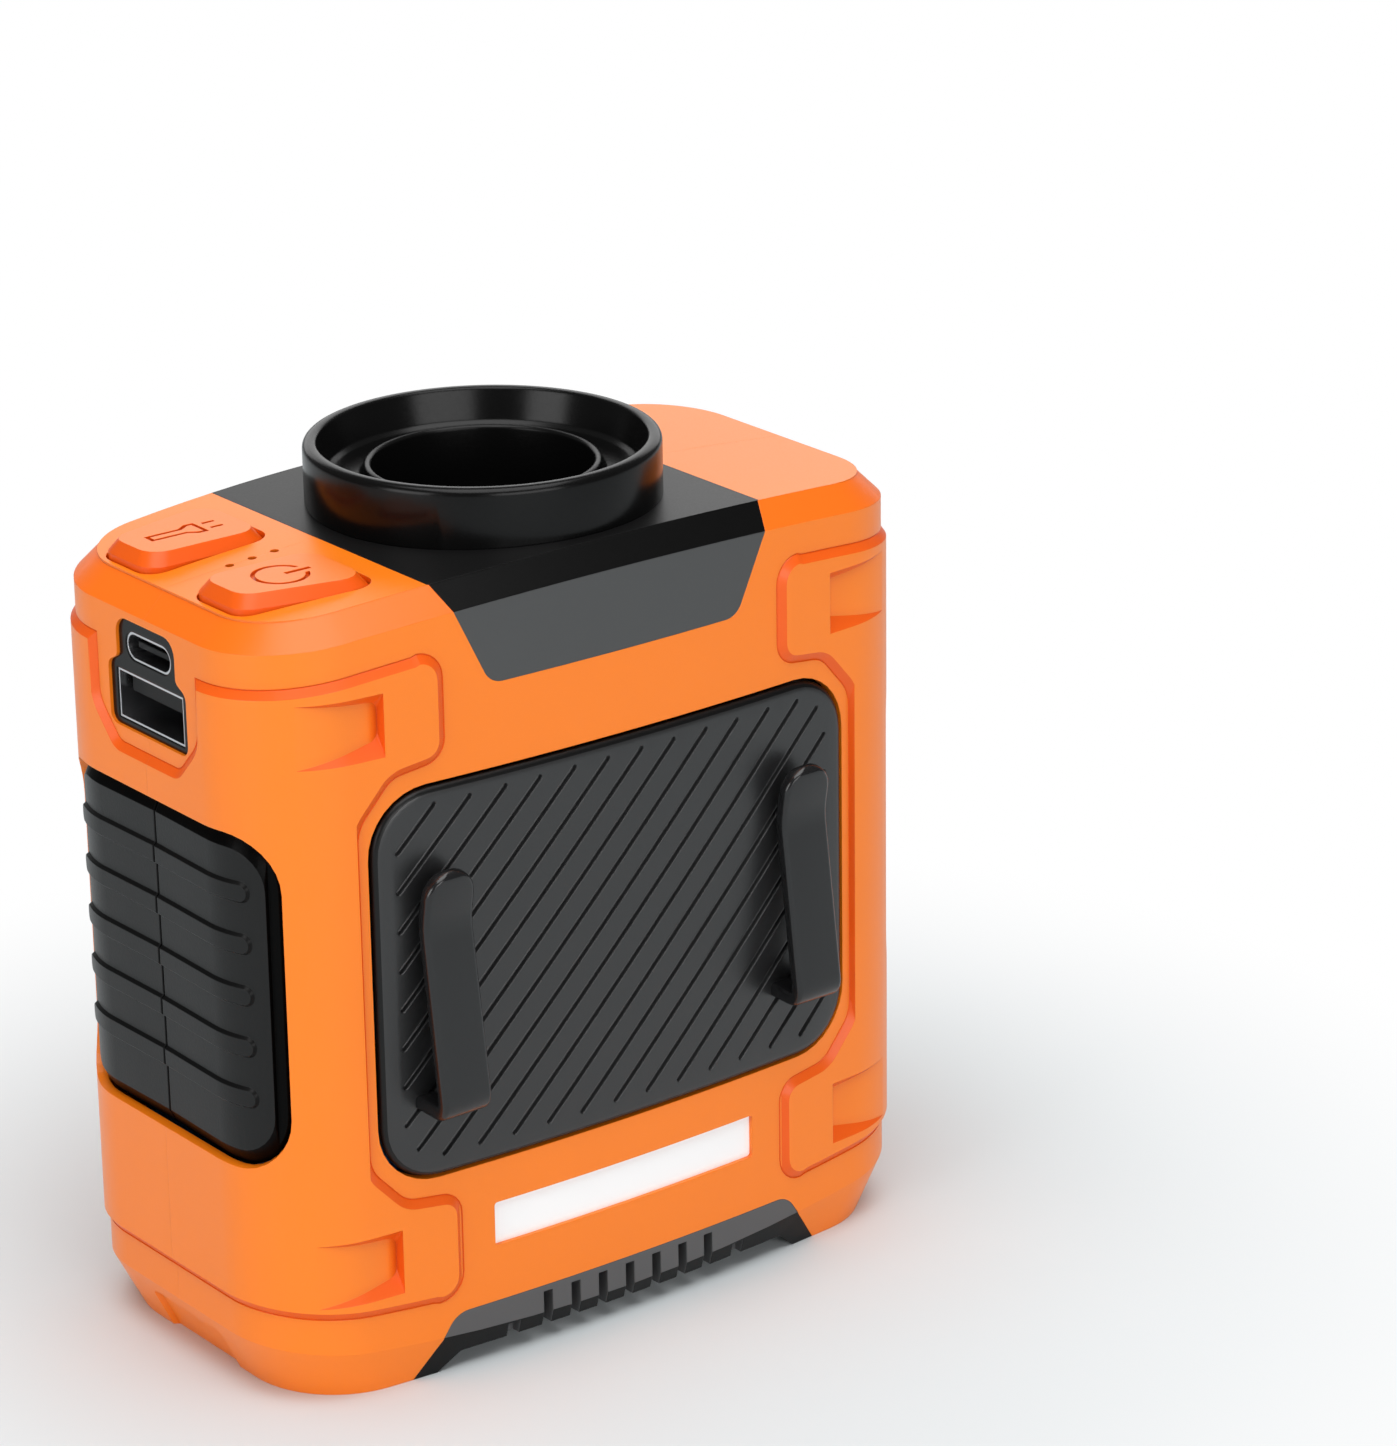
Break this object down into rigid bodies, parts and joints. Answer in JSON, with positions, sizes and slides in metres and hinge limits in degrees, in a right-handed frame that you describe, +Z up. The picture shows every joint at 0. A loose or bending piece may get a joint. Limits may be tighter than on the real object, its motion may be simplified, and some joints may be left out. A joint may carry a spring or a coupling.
{
  "type": "pocket turbo fan with torch",
  "caption": "Square battery power pack with a round turbo fan outlet on top, end torch, side ports, two push buttons, rubber grips and flexing back clips.",
  "frame": {"origin": "on the floor, at the centre of the whole footprint", "axes": "+X from the port end to the torch end, +Y from the clip face to the back face, +Z up along the air outlet"},
  "size_m": [0.0921, 0.0538, 0.099],
  "materials": {
    "orange_plastic": "fine satin texture",
    "grey_plastic": "fine satin texture",
    "gloss_black": "gloss",
    "black_plastic": "matt",
    "black_rubber": "soft matt",
    "white_plastic": "satin",
    "steel": "satin",
    "bright_metal": "mirror bright",
    "clear_lens": "clear",
    "lamp_lens": "translucent dark red",
    "lamp_yellow": "satin",
    "board_green": "semi-gloss",
    "cell_wrap": "semi-gloss film"
  },
  "bodies": {
    "case": {"front_shell": "orange_plastic", "rear_shell": "orange_plastic", "top_saddle": "grey_plastic", "nozzle_collar": "gloss_black", "fan_duct": "black_plastic", "guide_vanes": "black_plastic", "motor": "steel", "base_grille": "grey_plastic", "clip_plate": "grey_plastic", "name_plate": "white_plastic", "charge_lights": "lamp_lens", "switch_board": "board_green", "push_switches": "black_plastic", "port_bezel": "gloss_black", "usb_a_socket": "steel", "usb_a_tongue": "black_plastic", "usb_c_socket": "steel", "usb_c_tongue": "black_plastic", "port_board": "board_green", "usb_c_board": "board_green", "torch_ring": "gloss_black", "torch_lens": "clear_lens", "torch_reflector": "bright_metal", "torch_led": "lamp_yellow", "left_cells": "cell_wrap", "right_cells": "cell_wrap", "left_cell_holder": "black_plastic", "right_cell_holder": "black_plastic", "cell_tabs": "steel", "case_screws": "steel", "left_front_grip": "black_rubber", "left_rear_grip": "black_rubber", "right_front_grip": "black_rubber", "right_rear_grip": "black_rubber"},
    "rotor": {"motor_shaft": "steel", "impeller": "black_plastic"},
    "torch_key": {"torch_button": "orange_plastic"},
    "power_key": {"power_button": "orange_plastic"},
    "clip_a": {"left_clip": "grey_plastic"},
    "clip_b": {"right_clip": "grey_plastic"}
  },
  "joints": [
    {"name": "fan_spin", "type": "hinge", "parent": "case", "child": "rotor", "pos_m": [0, 0.0023, 0.06], "axis": [0, 0, 1], "continuous": true},
    {"name": "torch_press", "type": "slide", "parent": "case", "child": "torch_key", "axis": [0, 0, -1], "range_m": [0, 0.0005], "stiffness_N_per_m": 1500},
    {"name": "power_press", "type": "slide", "parent": "case", "child": "power_key", "axis": [0, 0, -1], "range_m": [0, 0.0005], "stiffness_N_per_m": 1500},
    {"name": "left_clip_flex", "type": "hinge", "parent": "case", "child": "clip_a", "pos_m": [-0.025, -0.0211, 0.03425], "axis": [1, 0, 0], "range_deg": [0, 8], "stiffness_Nm_per_rad": 0.5},
    {"name": "right_clip_flex", "type": "hinge", "parent": "case", "child": "clip_b", "pos_m": [0.0241, -0.02114, 0.03425], "axis": [1, 0, 0], "range_deg": [0, 8], "stiffness_Nm_per_rad": 0.5}
  ]
}
